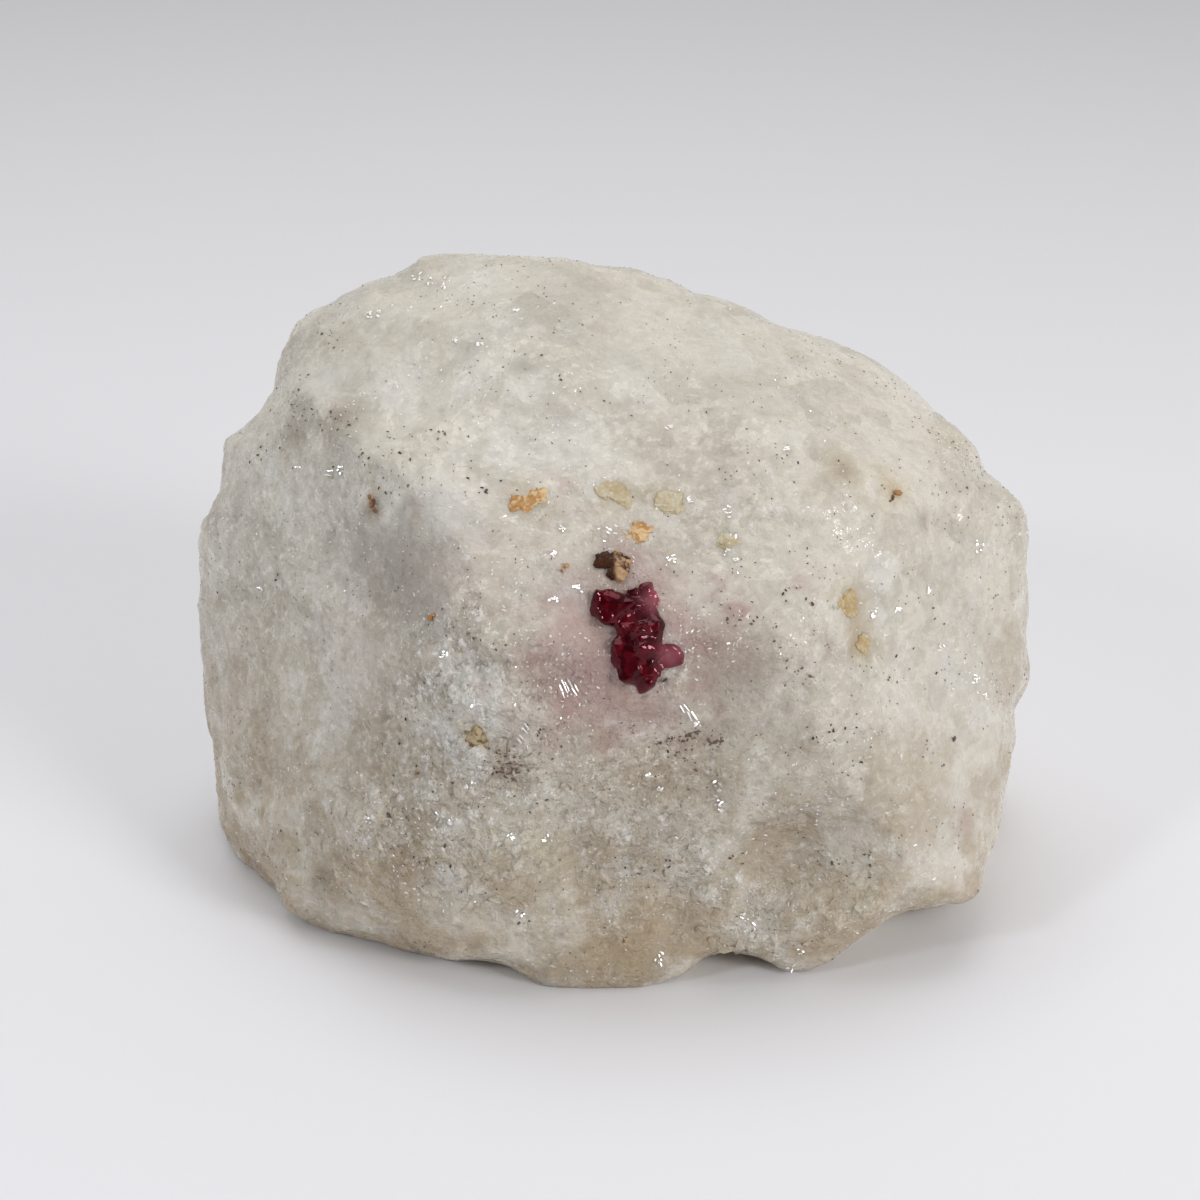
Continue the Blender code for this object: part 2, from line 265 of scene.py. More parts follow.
# %% The relief of the marble: the size of its grains and the height of their planes
COARSE_RELIEF = ((0.0042, 0.00028), (0.0018, 0.00017))
FINE_RELIEF = (0.0009, 0.00010)
FOOT = 0.0015  # up to this height the relief fades in, so that the stone rests as its solid does

points = mesh_array(marble)
outward = mesh_array(marble, "normal")
seams = np.zeros(len(points))
relief = np.zeros(len(points))
for seed, (size, height) in enumerate(COARSE_RELIEF, 5):
    relief += grain_planes(points, size, height, seed, seams)
relief += grain_planes(points, *FINE_RELIEF, 7)
above_floor = np.clip(points[:, 2] / FOOT, 0, 1)
steep = np.clip((0.93 - outward[:, 2]) / 0.5, 0, 1)
to_right = np.clip(outward[:, 0] / 0.7, 0, 1)
broken = steep * (1 - 0.6 * to_right)
relief *= above_floor * (0.40 + 0.60 * broken)
points = points + outward * relief[:, None]
points[:, 2] = points[:, 2].clip(0)
move_to(marble, points)


def keep_on(piece, name, values):
    """Keeps a value for each point of the piece, for its material to read."""
    piece.data.attributes.new(name, "FLOAT", "POINT").data.foreach_set("value", values.astype(np.float32))


keep_on(marble, "seam", seams)
print("grain relief from", round(relief.min() * 1000, 2), "to", round(relief.max() * 1000, 2), "mm")

# %% [markdown]
# ## Placing things on the stone
#
# A fleck or a stain is given by the place where the photograph shows it. A ray from the camera through
# that place of the picture meets the stone, so the thing sits on the surface from wherever it is seen.

# %% Rays onto the stone
surface = BVHTree.FromObject(marble, bpy.context.evaluated_depsgraph_get())


def on_stone(across, down, spread=0.0008):
    """The point of the stone seen at this place of the picture, and the way its surface faces there.

    A place just past the outline is moved in, by at most an eighth of the way to the picture's middle.
    """
    scale = FRAME_WIDTH / PHOTO
    for inward in (1.0, 0.985, 0.97, 0.94, 0.91, 0.875):
        hits = []
        for x, y in ((0, 0), (spread, 0), (-spread, 0), (0, spread), (0, -spread)):
            right = (across - PHOTO / 2) * scale * inward + x
            up = (PHOTO / 2 - down) * scale * inward + y
            ray = HEART + RIGHT * right + UP * up - camera.location
            hits.append(surface.ray_cast(camera.location, ray.normalized()))
        if hits[0][0] is not None:
            return hits[0][0], sum((hit[1] for hit in hits if hit[0] is not None), Vector()).normalized()
    raise ValueError(f"the stone isn't seen at {across}, {down}")


# %% [markdown]
# ## Stains, with painted light and shade
#
# The marble is flushed pink around the spinel, and dirt and iron have left brown and yellow stains in
# places. Some of the white, grey and brown blots are painted light and shade: white ones lighten the right
# side, the left rim and the middle of the front, grey and brown ones darken the hollow left of the ridge
# and the marble below the spinel, and in the low hollow on the right they are partly dirt and partly
# painted shade. A blot has no thickness, so it is colour only. Each is a soft blot around its own point of
# the stone. Its strength is kept on the marble's mesh as an attribute, which the material reads.

# %% Blots on the stone: across, down, radius in millimetres, strength
BLOTS = {
    "white": (
        # The first seven white blots are painted light, where light falls on the right side, the left rim and the
        # middle of the front.
        (960, 620, 6.0, 0.20), (950, 820, 6.0, 0.45), (985, 720, 5.0, 0.30), (940, 710, 5.0, 0.35),
        (215, 700, 5.0, 0.50), (200, 620, 5.0, 0.45), (560, 755, 4.0, 0.35), (440, 505, 3.2, 0.55),
        (470, 525, 2.6, 0.45), (330, 375, 2.4, 0.45), (395, 385, 2.8, 0.40), (470, 380, 2.6, 0.40),
        (525, 392, 2.4, 0.40), (500, 320, 2.6, 0.35), (480, 280, 2.2, 0.30), (560, 445, 3.0, 0.30),
        (610, 470, 3.0, 0.30), (500, 450, 2.4, 0.40), (640, 380, 3.6, 0.25), (880, 620, 1.8, 0.45),
        (882, 580, 1.6, 0.40), (905, 700, 2.6, 0.25), (745, 925, 1.8, 0.45), (690, 945, 2.2, 0.35),
        (855, 850, 3.6, 0.25), (655, 955, 1.8, 0.40), (475, 785, 2.0, 0.35), (700, 600, 2.0, 0.30),
        (560, 590, 2.4, 0.30), (730, 500, 1.6, 0.40), (445, 825, 2.4, 0.30),
    ),
    "grey": (
        # Painted shade: the grey blots in the hollow left of the ridge, from (300, 420) down to (430, 620), and the
        # one at (740, 670) below the spinel. Those at (845, 830) and (820, 800) are partly dirt and partly painted
        # shade in the low hollow on the right.
        (524, 366, 1.3, 0.65), (560, 411, 2.4, 0.45), (425, 350, 3.6, 0.30), (470, 345, 2.0, 0.35),
        (620, 410, 1.8, 0.35), (560, 290, 4.5, 0.25), (340, 300, 3.0, 0.25), (330, 490, 2.6, 0.30),
        (240, 520, 4.0, 0.25), (700, 790, 4.0, 0.35), (845, 830, 3.4, 0.40), (760, 850, 4.0, 0.40),
        (590, 800, 4.0, 0.25), (270, 730, 4.5, 0.25), (360, 560, 4.5, 0.25), (420, 620, 3.4, 0.20),
        (820, 800, 4.0, 0.35), (650, 870, 3.6, 0.35), (330, 880, 3.6, 0.30), (980, 650, 3.0, 0.20),
        (400, 575, 4.2, 0.80), (365, 540, 2.6, 0.55), (425, 595, 2.6, 0.45), (345, 450, 3.2, 0.40),
        (300, 420, 2.4, 0.35), (560, 330, 5.0, 0.30), (590, 690, 3.4, 0.25), (740, 390, 5.0, 0.20),
        (400, 572, 4.0, 0.45), (340, 760, 5.0, 0.30), (600, 360, 3.0, 0.25), (740, 670, 5.0, 0.55),
        (680, 700, 3.4, 0.40), (430, 610, 2.6, 0.35), (790, 740, 3.6, 0.30),
    ),
    "pink": (
        (590, 690, 4.5, 0.40), (612, 640, 7.5, 0.55), (585, 660, 4.5, 0.45), (640, 705, 4.5, 0.35),
        (660, 610, 3.5, 0.35), (730, 655, 5.0, 0.22), (742, 610, 1.3, 0.75), (798, 585, 1.2, 0.40),
        (566, 485, 1.2, 0.40), (965, 824, 1.4, 0.40), (640, 575, 2.5, 0.35), (700, 655, 3.0, 0.30),
        (480, 560, 7.0, 0.14), (700, 480, 6.0, 0.10), (360, 640, 7.0, 0.12), (560, 720, 5.0, 0.25),
        (620, 560, 3.0, 0.25),
    ),
    "brown": (
        # Painted shade: the brown blot at (745, 668) below the spinel. Those at (800, 870) and (790, 830) are
        # partly dirt and partly painted shade in the low hollow on the right.
        (294, 434, 1.6, 0.50), (340, 418, 2.2, 0.45), (412, 510, 1.6, 0.35), (405, 875, 2.4, 0.40),
        (843, 472, 1.3, 0.45), (860, 610, 3.0, 0.20), (700, 930, 3.0, 0.20), (800, 870, 4.5, 0.22),
        (510, 765, 1.6, 0.40), (923, 520, 1.0, 0.50), (700, 735, 2.2, 0.20), (280, 880, 3.0, 0.20),
        (750, 645, 2.5, 0.20), (660, 810, 4.0, 0.15), (790, 830, 5.0, 0.18), (230, 660, 3.0, 0.15),
        (745, 668, 4.5, 0.22), (374, 505, 0.9, 0.60), (600, 850, 4.0, 0.20), (480, 870, 4.0, 0.18),
    ),
    "yellow": (
        (626, 955, 2.6, 0.55), (540, 850, 3.4, 0.30), (850, 600, 2.2, 0.55), (863, 645, 1.6, 0.50),
        (618, 493, 2.0, 0.50), (668, 503, 1.5, 0.35), (892, 494, 1.6, 0.50), (474, 737, 1.5, 0.40),
        (530, 500, 2.0, 0.30), (850, 470, 3.0, 0.22), (945, 435, 3.5, 0.18), (700, 950, 5.0, 0.25),
        (440, 930, 7.0, 0.18), (860, 890, 5.0, 0.20), (570, 770, 4.0, 0.14), (650, 765, 3.0, 0.14),
    ),
}


def raggedness(points):
    """A factor about 1 for each point, which makes the edge of a blot ragged."""
    return 1 + 0.45 * np.array([noise.fractal(Vector(point) * 420, 0.7, 2.2, 3) for point in points])


def blot_strengths(points, ragged, blots):
    """The strength of the blots at each point: soft blots with ragged edges."""
    total = np.zeros(len(points))
    for across, down, radius, strength in blots:
        middle, _ = on_stone(across, down)
        apart = np.linalg.norm(points - np.array(middle), axis=1) / (radius * MM)
        total = 1 - (1 - total) * (1 - strength * np.exp(-1.6 * (apart * ragged) ** 2))
    return total


def keep_stains_and_painted_light(piece):
    """Keeps the strength of each stain, and of the painted light and shade, at each point of the piece."""
    points = mesh_array(piece)
    ragged = raggedness(points)
    for stain, blots in BLOTS.items():
        strengths = blot_strengths(points, ragged, blots)
        keep_on(piece, stain, strengths)
        print(piece.name, stain, "stain up to", round(float(strengths.max()), 2))


keep_stains_and_painted_light(marble)

# %% [markdown]
# ## Where the break is crisp
#
# Low in front the stone broke roughly and sparkles with small chips, and above and at the sides it broke
# more smoothly. Soft blots say where, as for the stains. Behind, where the photograph doesn't show the
# stone, it is taken as crisp. The value sets the strength of the material's patterns further on.

# %% Crisp places: across, down, radius in millimetres, strength
CRISP = (
    (560, 770, 15.0, 0.9), (660, 880, 14.0, 0.9), (450, 840, 12.0, 0.8), (790, 840, 11.0, 0.6),
    (340, 890, 9.0, 0.5), (620, 560, 9.0, 0.4), (500, 680, 11.0, 0.5), (880, 900, 7.0, 0.4),
    (760, 700, 10.0, 0.4),
)
LEAST_CRISP = 0.38
behind = 0.8 * np.clip(outward[:, 1] * 3, 0, 1)
crisp = np.maximum(blot_strengths(points, np.ones(len(points)), CRISP), behind)
crisp = broken * (LEAST_CRISP + (1 - LEAST_CRISP) * crisp)
keep_on(marble, "crisp", crisp)
print("crisp on average:", round(float(crisp.mean()), 2))

# %% [markdown]
# ## Shared effects for the materials
#
# Calcite, spinel and the small grains are all crystals that broke or grew in small faces, so one effect
# serves them all: cells, each with its own random tilt, brightness and gloss. It puts out a height for a
# Bump node and values for colour and roughness. The shaders stay in the materials themselves.

# %% Node helpers


def node(tree, kind, links=(), **settings):
    """Adds a shader node. links are (socket, output or value) pairs."""
    made = tree.nodes.new(kind)
    for setting, value in settings.items():
        setattr(made, setting, value)
    for socket, value in links:
        if isinstance(value, bpy.types.NodeSocket):
            tree.links.new(value, made.inputs[socket])
        else:
            made.inputs[socket].default_value = value
    return made


def math_node(tree, operation, first, second=0.0):
    return node(tree, "ShaderNodeMath", ((0, first), (1, second)), operation=operation).outputs[0]


def product(tree, first, second):
    return math_node(tree, "MULTIPLY", first, second)


def mixed(tree, share, first, second, blend="MIX"):
    made = node(tree, "ShaderNodeMix", ((0, share), (6, first), (7, second)), data_type="RGBA", blend_type=blend)
    return made.outputs[2]


def spread_over(tree, value, low, high, to_low=0.0, to_high=1.0):
    links = ((0, value), (1, low), (2, high), (3, to_low), (4, to_high))
    return node(tree, "ShaderNodeMapRange", links, interpolation_type="SMOOTHSTEP").outputs[0]


def noise_at(tree, place, scale, detail=3.0, roughness=0.6):
    links = (("Vector", place), ("Scale", scale), ("Detail", detail), ("Roughness", roughness))
    return node(tree, "ShaderNodeTexNoise", links).outputs["Fac"]


# %% The effect of crystal cells


def vector_node(tree, operation, first, second=None, amount=None):
    links = [(0, first)]
    if second is not None:
        links.append((1, second))
    if amount is not None:
        links.append((3, amount))
    made = node(tree, "ShaderNodeVectorMath", links, operation=operation)
    return made.outputs["Value"] if operation == "DOT_PRODUCT" else made.outputs[0]


def cell_effect():
    group = bpy.data.node_groups.new("crystal cells", "ShaderNodeTree")
    group.interface.new_socket("Place", in_out="INPUT", socket_type="NodeSocketVector")
    group.interface.new_socket("Scale", in_out="INPUT", socket_type="NodeSocketFloat")
    for name in ("Height", "Shade", "Gloss"):
        group.interface.new_socket(name, in_out="OUTPUT", socket_type="NodeSocketFloat")
    given = group.nodes.new("NodeGroupInput")
    ends = group.nodes.new("NodeGroupOutput")
    links = (("Vector", given.outputs["Place"]), ("Scale", given.outputs["Scale"]))
    cells = node(group, "ShaderNodeTexVoronoi", links)
    scaled = vector_node(group, "SCALE", given.outputs["Place"], amount=given.outputs["Scale"])
    middle = vector_node(group, "SCALE", cells.outputs["Position"], amount=given.outputs["Scale"])
    inside = vector_node(group, "SUBTRACT", scaled, middle)
    tilt = vector_node(group, "SUBTRACT", cells.outputs["Color"], (0.5, 0.5, 0.5))
    shades = node(group, "ShaderNodeSeparateColor", ((0, cells.outputs["Color"]),))
    group.links.new(vector_node(group, "DOT_PRODUCT", inside, tilt), ends.inputs["Height"])
    group.links.new(shades.outputs[0], ends.inputs["Shade"])
    group.links.new(shades.outputs[1], ends.inputs["Gloss"])
    return group


CELLS = cell_effect()


def cells_at(tree, place, scale):
    made = tree.nodes.new("ShaderNodeGroup")
    made.node_tree = CELLS
    tree.links.new(place, made.inputs["Place"])
    made.inputs["Scale"].default_value = scale
    return made.outputs


def bent(tree, place, scale, reach):
    """The place, shifted by up to about half of reach in metres, so that the cells' edges aren't straight."""
    wander = node(tree, "ShaderNodeTexNoise", (("Vector", place), ("Scale", scale), ("Detail", 1.0)))
    shift = vector_node(tree, "SUBTRACT", wander.outputs["Color"], (0.5, 0.5, 0.5))
    return vector_node(tree, "ADD", place, vector_node(tree, "SCALE", shift, amount=reach))


def object_place(tree):
    return node(tree, "ShaderNodeTexCoord").outputs["Object"]


def kept_value(tree, name):
    """A value that was kept on the points of the mesh."""
    return node(tree, "ShaderNodeAttribute", attribute_name=name).outputs["Fac"]


def bumped(tree, shader, height, strength=1.0):
    """Tilts the surface's shading by this height in metres."""
    bump = node(tree, "ShaderNodeBump", (("Height", height), ("Strength", strength), ("Distance", 1.0)))
    tree.links.new(bump.outputs[0], shader.inputs["Normal"])


def new_material(name):
    material = bpy.data.materials.new(name)
    material.use_nodes = True
    tree = material.node_tree
    return material, tree, tree.nodes["Principled BSDF"]


# %% [markdown]
# ## The marble's material
#
# White marble is not plain white. Light goes a few millimetres into it, so it looks soft, and clear grains
# look grey beside bruised, opaque white ones. Where the break is crisp it is full of small white and clear
# chips, with dirt in the seams between the grains. Toward its foot the stone turns tan and darker, partly
# its own colour and partly painted shade, and the stains carry some painted light and shade too. A painted
# picture could not follow the stone from every side, so all of it is made from patterns in space, at the
# real sizes of the grains.

# %% Marble: its colours, and how many grains, patches, clouds, chips and grit go to a metre
CLEAR_GREY = (0.575, 0.53, 0.445, 1)
SOFT_WHITE = (0.675, 0.63, 0.545, 1)
PALE_GRAIN = (0.79, 0.775, 0.74, 1)
DULL_GRAIN = (0.43, 0.39, 0.32, 1)
WHITE_CHIP = (0.90, 0.875, 0.83, 1)
CLEAR_CHIP = (0.37, 0.325, 0.26, 1)
SEAM_DIRT = (0.27, 0.215, 0.16, 1)
FOOT_TAN_AND_SHADE = (0.43, 0.325, 0.205, 1)
# The grey, white and brown colours also serve the blots of painted shade and painted light.
STAIN_AND_PAINTED_LIGHT_COLOURS = {
    "grey": (0.37, 0.335, 0.285, 1),
    "white": (0.73, 0.715, 0.68, 1),
    "pink": (0.39, 0.23, 0.21, 1),
    "yellow": (0.50, 0.37, 0.17, 1),
    "brown": (0.25, 0.175, 0.115, 1),
}
COARSE_GRAINS, FINE_GRAINS = 340.0, 1500.0
PATCHES, CLOUDS, CHIPS, GRIT = 150.0, 75.0, 1250.0, 1500.0

# %% The grains' own colour


def grey_colour(tree, value):
    return node(tree, "ShaderNodeCombineColor", ((0, value), (1, value), (2, value))).outputs[0]


def grain_colour(tree, patches, crisp, coarse, fine):
    """Patches of soft white and clear grey, in which a few grains are paler or duller."""
    tone = math_node(tree, "ADD", patches, product(tree, coarse["Shade"], 0.16))
    colour = mixed(tree, spread_over(tree, tone, 0.50, 0.70), SOFT_WHITE, CLEAR_GREY)
    for edge, tint in ((0.86, PALE_GRAIN), (0.18, DULL_GRAIN)):
        chosen = spread_over(tree, coarse["Gloss"], edge, edge + math.copysign(0.03, edge - 0.5))
        chosen = product(tree, chosen, spread_over(tree, crisp, 0.0, 1.0, 0.16, 0.42))
        colour = mixed(tree, chosen, colour, tint)
    shade = spread_over(tree, fine["Shade"], 0.0, 1.0, 0.95, 1.05)
    return mixed(tree, 1.0, colour, grey_colour(tree, shade), "MULTIPLY")


# %% The chips and the dirt of a crisp break


def chipped(tree, colour, place, patches, crisp):
    """Adds white and clear chips, thicker in some clouds than in others, and dirt in the seams."""
    chips = noise_at(tree, place, CHIPS, 3.0, 0.75)
    clouds = spread_over(tree, noise_at(tree, place, CLOUDS, 1.0), 0.40, 0.58, 0.45, 1.0)
    strong = math_node(tree, "ADD", product(tree, crisp, clouds), 0.12)
    white = product(tree, spread_over(tree, chips, 0.57, 0.615), strong)
    colour = mixed(tree, white, colour, WHITE_CHIP)
    clear = product(tree, strong, 0.85)
    clear = product(tree, spread_over(tree, chips, 0.43, 0.385), clear)
    colour = mixed(tree, clear, colour, CLEAR_CHIP)
    dirt = spread_over(tree, patches, 0.50, 0.66, 0.05, 0.8)
    dirt = product(tree, kept_value(tree, "seam"), dirt)
    dirt = product(tree, dirt, spread_over(tree, chips, 0.56, 0.48, 0.2, 1.0))
    return mixed(tree, product(tree, dirt, crisp), colour, SEAM_DIRT)


# %% The stains, some of them painted light and shade, and the tan foot, partly painted shade
TAN_BELOW, TAN_WHOLE = 0.034, 0.004  # heights in metres between which the tan deepens


def stains_painted_light_and_foot(tree, colour, place, patches):
    # The stain colours, some of which are painted light and shade, and then the tan foot.
    for stain, tint in STAIN_AND_PAINTED_LIGHT_COLOURS.items():
        colour = mixed(tree, kept_value(tree, stain), colour, tint)
    height = node(tree, "ShaderNodeSeparateXYZ", ((0, place),)).outputs["Z"]
    # Tan and darker toward the floor: partly the stone's own colour, partly painted shade low on the stone.
    low = spread_over(tree, height, TAN_BELOW, TAN_WHOLE, 0.0, 0.70)
    tan = product(tree, low, spread_over(tree, patches, 0.36, 0.60, 0.10, 1.0))
    return mixed(tree, tan, colour, FOOT_TAN_AND_SHADE)


# %% Marble, put together


def marble_material(name, softness):
    """softness is the share of the light that goes into the stone and comes out beside."""
    material, tree, shader = new_material(name)
    place = object_place(tree)
    wavy = bent(tree, place, 640.0, 0.0010)
    crisp = kept_value(tree, "crisp")
    coarse, fine = cells_at(tree, wavy, COARSE_GRAINS), cells_at(tree, place, FINE_GRAINS)
    patches = noise_at(tree, wavy, PATCHES, 4.0, 0.68)
    colour = grain_colour(tree, patches, crisp, coarse, fine)
    colour = chipped(tree, colour, place, patches, crisp)
    colour = stains_painted_light_and_foot(tree, colour, place, patches)
    tree.links.new(colour, shader.inputs["Base Color"])
    tree.links.new(spread_over(tree, fine["Shade"], 0.62, 0.72, 0.46, 0.16), shader.inputs["Roughness"])

    planes = product(tree, fine["Height"], 0.00018)
    grit = product(tree, noise_at(tree, place, GRIT, 2.0, 0.7), 0.00034)
    strength = spread_over(tree, crisp, 0.0, 1.0, 0.3, 1.4)
    bumped(tree, shader, product(tree, math_node(tree, "ADD", planes, grit), strength))
    shader.inputs["IOR"].default_value = 1.6
    shader.inputs["Specular IOR Level"].default_value = 0.4
    shader.inputs["Subsurface Weight"].default_value = softness
    shader.inputs["Subsurface Radius"].default_value = (1.0, 0.9, 0.75)
    shader.inputs["Subsurface Scale"].default_value = 0.0015
    return material


marble.data.materials.append(marble_material("white marble", 0.5))
marble.data.shade_smooth()
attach(marble, "root")
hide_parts(MARBLE)

# %% [markdown]
# ## The spinel crystals
#
# The spinels are a cluster of glassy, wine-red crystals with rounded edges and small stepped faces, and two
# paler lobes lie thin and pink in the marble. A cut gem's sharp facets would look wrong here. The cluster's
# solid is remeshed very finely and softened, small steps are raised on its faces, and the crystal is a
# half clear glass of a deep wine red. The pale lobes are the same crystal where it is thin, so a value kept
# on the mesh lightens them.

# %% Refining a crystal


def refined(name, solid, voxel, steps, seed, smoothing, gaps=0.0, ragged=0.0):
    """A fine, softened copy of a solid of the model, with small crystal steps of these (size, height).

    Gaps and holes narrower than twice the given distance are closed, by growing and shrinking the piece.
    ragged is how far its surface wanders in and out.
    """
    piece = copied(name, solid)
    remeshed(piece, voxel)
    if gaps:
        for growth in (gaps, -gaps):
            applied(piece, "DISPLACE", strength=growth, mid_level=0.0)
            remeshed(piece, voxel)
    applied(piece, "SMOOTH", factor=0.5, iterations=smoothing)
    points, outward = mesh_array(piece), mesh_array(piece, "normal")
    if ragged:
        wander = np.array([noise.fractal(Vector(point) * 1900, 0.6, 2.1, 3) for point in points])
        points = points + outward * (wander * ragged)[:, None]
    for index, (size, height) in enumerate(steps):
        points = points + outward * grain_planes(points, size, height, seed + index)[:, None]
    move_to(piece, points)
    piece.data.shade_smooth()
    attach(piece, "root")
    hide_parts(solid)
    return piece


def broken_flush(piece, kept):
    """Where the piece stands out of the marble, each of its points keeps this share of the distance."""
    points = mesh_array(piece)
    for index, (point, share) in enumerate(zip(points, kept)):
        on_marble, facing, _, _ = surface.find_nearest(point)
        above = Vector(point) - on_marble
        if above.dot(facing) > 0:
            points[index] = on_marble + above * share
    move_to(piece, points)


# %% The cluster, and its pale lobes: across, down, radius in millimetres, strength
PALE_LOBES = ((652, 600, 1.1, 1.0), (671, 657, 1.4, 1.0), (655, 588, 0.9, 0.8))
SPINEL_STEPS = ((0.0011, 0.00010), (0.0005, 0.00003))

spinel = refined("spinel_crystals", CRYSTALS, 0.00011, SPINEL_STEPS, seed=20, smoothing=5, gaps=0.00045)
crystal_points = mesh_array(spinel)
pale = blot_strengths(crystal_points, raggedness(crystal_points), PALE_LOBES)
broken_flush(spinel, 0.78 - 0.48 * pale)
keep_on(spinel, "pale", pale)
print("spinel:", triangles(spinel), "triangles")

# %% Red spinel
DEEP_WINE = (0.026, 0.0003, 0.0015, 1)
LIT_WINE = (0.16, 0.002, 0.010, 1)
THIN_PINK = (0.60, 0.19, 0.24, 1)
WINE_SHINE = (0.95, 0.38, 0.44, 1)


def spinel_material():
    material, tree, shader = new_material("red spinel")
    cells = cells_at(tree, bent(tree, object_place(tree), 900.0, 0.0006), 1500.0)
    deep = mixed(tree, cells["Shade"], DEEP_WINE, LIT_WINE)
    tree.links.new(mixed(tree, kept_value(tree, "pale"), deep, THIN_PINK), shader.inputs["Base Color"])
    tree.links.new(spread_over(tree, cells["Gloss"], 0.2, 0.9, 0.03, 0.10), shader.inputs["Roughness"])
    bumped(tree, shader, product(tree, cells["Height"], 0.00003))
    shader.inputs["IOR"].default_value = 1.718
    shader.inputs["Specular IOR Level"].default_value = 0.12
    shader.inputs["Specular Tint"].default_value = WINE_SHINE
    shader.inputs["Transmission Weight"].default_value = 0.5
    return material


spinel.data.materials.append(spinel_material())

# %% [markdown]
# ## The coloured grains
#
# Around the spinel sit small grains of other minerals: rusty orange, pale yellow, amber, olive and a brown
# one with a tan, glassy side. They broke with the marble, so they lie almost flush with it, and each has
# its own grainy face. Each is refined from its own solid, and one function makes their materials.

# %% Refining the grains
GRAIN_STEPS = ((0.0007, 0.00012), (0.0003, 0.00006))
grains = {}
for seed, solid in enumerate(GRAINS):
    name = solid.replace("grain", "crystal")
    ragged = 0.00030 if solid.startswith(("orange", "olive")) else 0.00016
    grain = refined(name, solid, 0.00009, GRAIN_STEPS, 40 + seed, smoothing=14, ragged=ragged)
    share = 0.6 if solid.startswith("brown") else 0.25
    broken_flush(grain, np.full(len(grain.data.vertices), share))
    grains[solid] = grain
print("grains:", sum(triangles(grain) for grain in grains.values()), "triangles")

# %% Their materials: dark and light colour, roughness, how clear
GRAIN_LOOKS = {
    "brown_grain": ((0.055, 0.018, 0.006, 1), (0.50, 0.31, 0.17, 1), 0.14, 0.0),
    "orange_grain": ((0.48, 0.25, 0.09, 1), (0.74, 0.52, 0.29, 1), 0.40, 0.0),
    "yellow_grain": ((0.63, 0.51, 0.31, 1), (0.76, 0.67, 0.49, 1), 0.12, 0.25),
    "amber_grain": ((0.62, 0.44, 0.21, 1), (0.72, 0.58, 0.35, 1), 0.14, 0.25),
    "olive_grain": ((0.20, 0.13, 0.06, 1), (0.52, 0.41, 0.25, 1), 0.30, 0.0),
}


def grain_material(kind, dark, light, rough, clear):
    material, tree, shader = new_material(kind.replace("_", " "))
    wavy = bent(tree, object_place(tree), 1200.0, 0.0005)
    cells = cells_at(tree, wavy, 2600.0)
    cloud = noise_at(tree, wavy, 700.0, 3.0)
    blend = math_node(tree, "ADD", cloud, product(tree, cells["Shade"], 0.3))
    blend = spread_over(tree, blend, 0.50, 0.80)
    if kind == "brown_grain":  # its left half stays dark, and only its right half is tan
        blend = spread_over(tree, noise_at(tree, wavy, 1100.0, 3.0), 0.38, 0.56)
        across = node(tree, "ShaderNodeSeparateXYZ", ((0, wavy),)).outputs["X"]
        blend = product(tree, blend, spread_over(tree, across, 0.0002, 0.0006))
    tree.links.new(mixed(tree, blend, dark, light), shader.inputs["Base Color"])
    tree.links.new(spread_over(tree, cells["Gloss"], 0.1, 0.9, rough, rough + 0.25), shader.inputs["Roughness"])
    bumped(tree, shader, product(tree, cells["Height"], 0.00006))
    shader.inputs["Specular IOR Level"].default_value = 0.2
    shader.inputs["Transmission Weight"].default_value = clear
    return material


for kind, look in GRAIN_LOOKS.items():
    material = grain_material(kind, *look)
    for solid, grain in grains.items():
        if solid.startswith(kind):
            grain.data.materials.append(material)

# %% [markdown]
# ## Small things scattered on the surface
#
# Blunt calcite grains stand a little out of the rough break, the marble is peppered with dark flecks, most
# of them in small swarms, and here and there the flat cleavage face of a grain catches the light. They are
# real bits of mineral, not paint, so each is a small shape. One is modelled by hand, and then it is stamped
# at each place, turned and sized at random.

# %% Stamping a shape onto the stone


def stamped(name, stamps, places):
    """One piece, made of copies of the stamps in turn. places holds (point, outward, size, along).

    along is the way that the stamp's length lies, as near as the surface lets it.
    """
    corners, faces = [], []
    for index, (point, outward, size, along) in enumerate(places):
        shape = stamps[index % len(stamps)].data
        over = outward.cross(along).normalized()
        stood = Matrix((over.cross(outward), over, outward)).transposed().to_4x4()
        at = Matrix.Translation(point) @ stood @ Matrix.Diagonal((*size, 1))
        first = len(corners)
        corners += [at @ vertex.co for vertex in shape.vertices]
        faces += [[first + corner for corner in face.vertices] for face in shape.polygons]
    mesh = bpy.data.meshes.new(name)
    mesh.from_pydata(corners, [], faces)
    piece = bpy.data.objects.new(name, mesh)
    bpy.context.scene.collection.objects.link(piece)
    for stamp in stamps:
        bpy.data.objects.remove(stamp)
    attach(piece, "root")
    print(name + ":", len(places), "shapes,", triangles(piece), "triangles")
    return piece


def any_way(rng):
    return Vector([rng.gauss(0, 1) for _ in range(3)])


def scattered(count, seed, swarm, tilt=0.0, smooth_share=1.0):
    """Random (point, outward) places on the marble, more of them where a noise of this swarm size is high.

    tilt turns them at random. smooth_share is the share that stays where the break is smooth. Below 0 it
    clears them away from the less crisp places too.
    """
    rng = random.Random(seed)
    polygons = marble.data.polygons
    found = []
    while len(found) < count:
        polygon = polygons[rng.randrange(len(polygons))]
        crowd = noise.noise(polygon.center / swarm + Vector((seed, 0, 0)))
        if polygon.center.z < 0.0012 or rng.random() > max(crowd + 0.1, 0.03) * 2:
            continue
        if rng.random() > smooth_share + (1 - smooth_share) * crisp[polygon.vertices[0]]:
            continue
        found.append((polygon.center.copy(), (polygon.normal + any_way(rng) * tilt).normalized()))
    return found


# %% Grains of calcite that stand a little proud


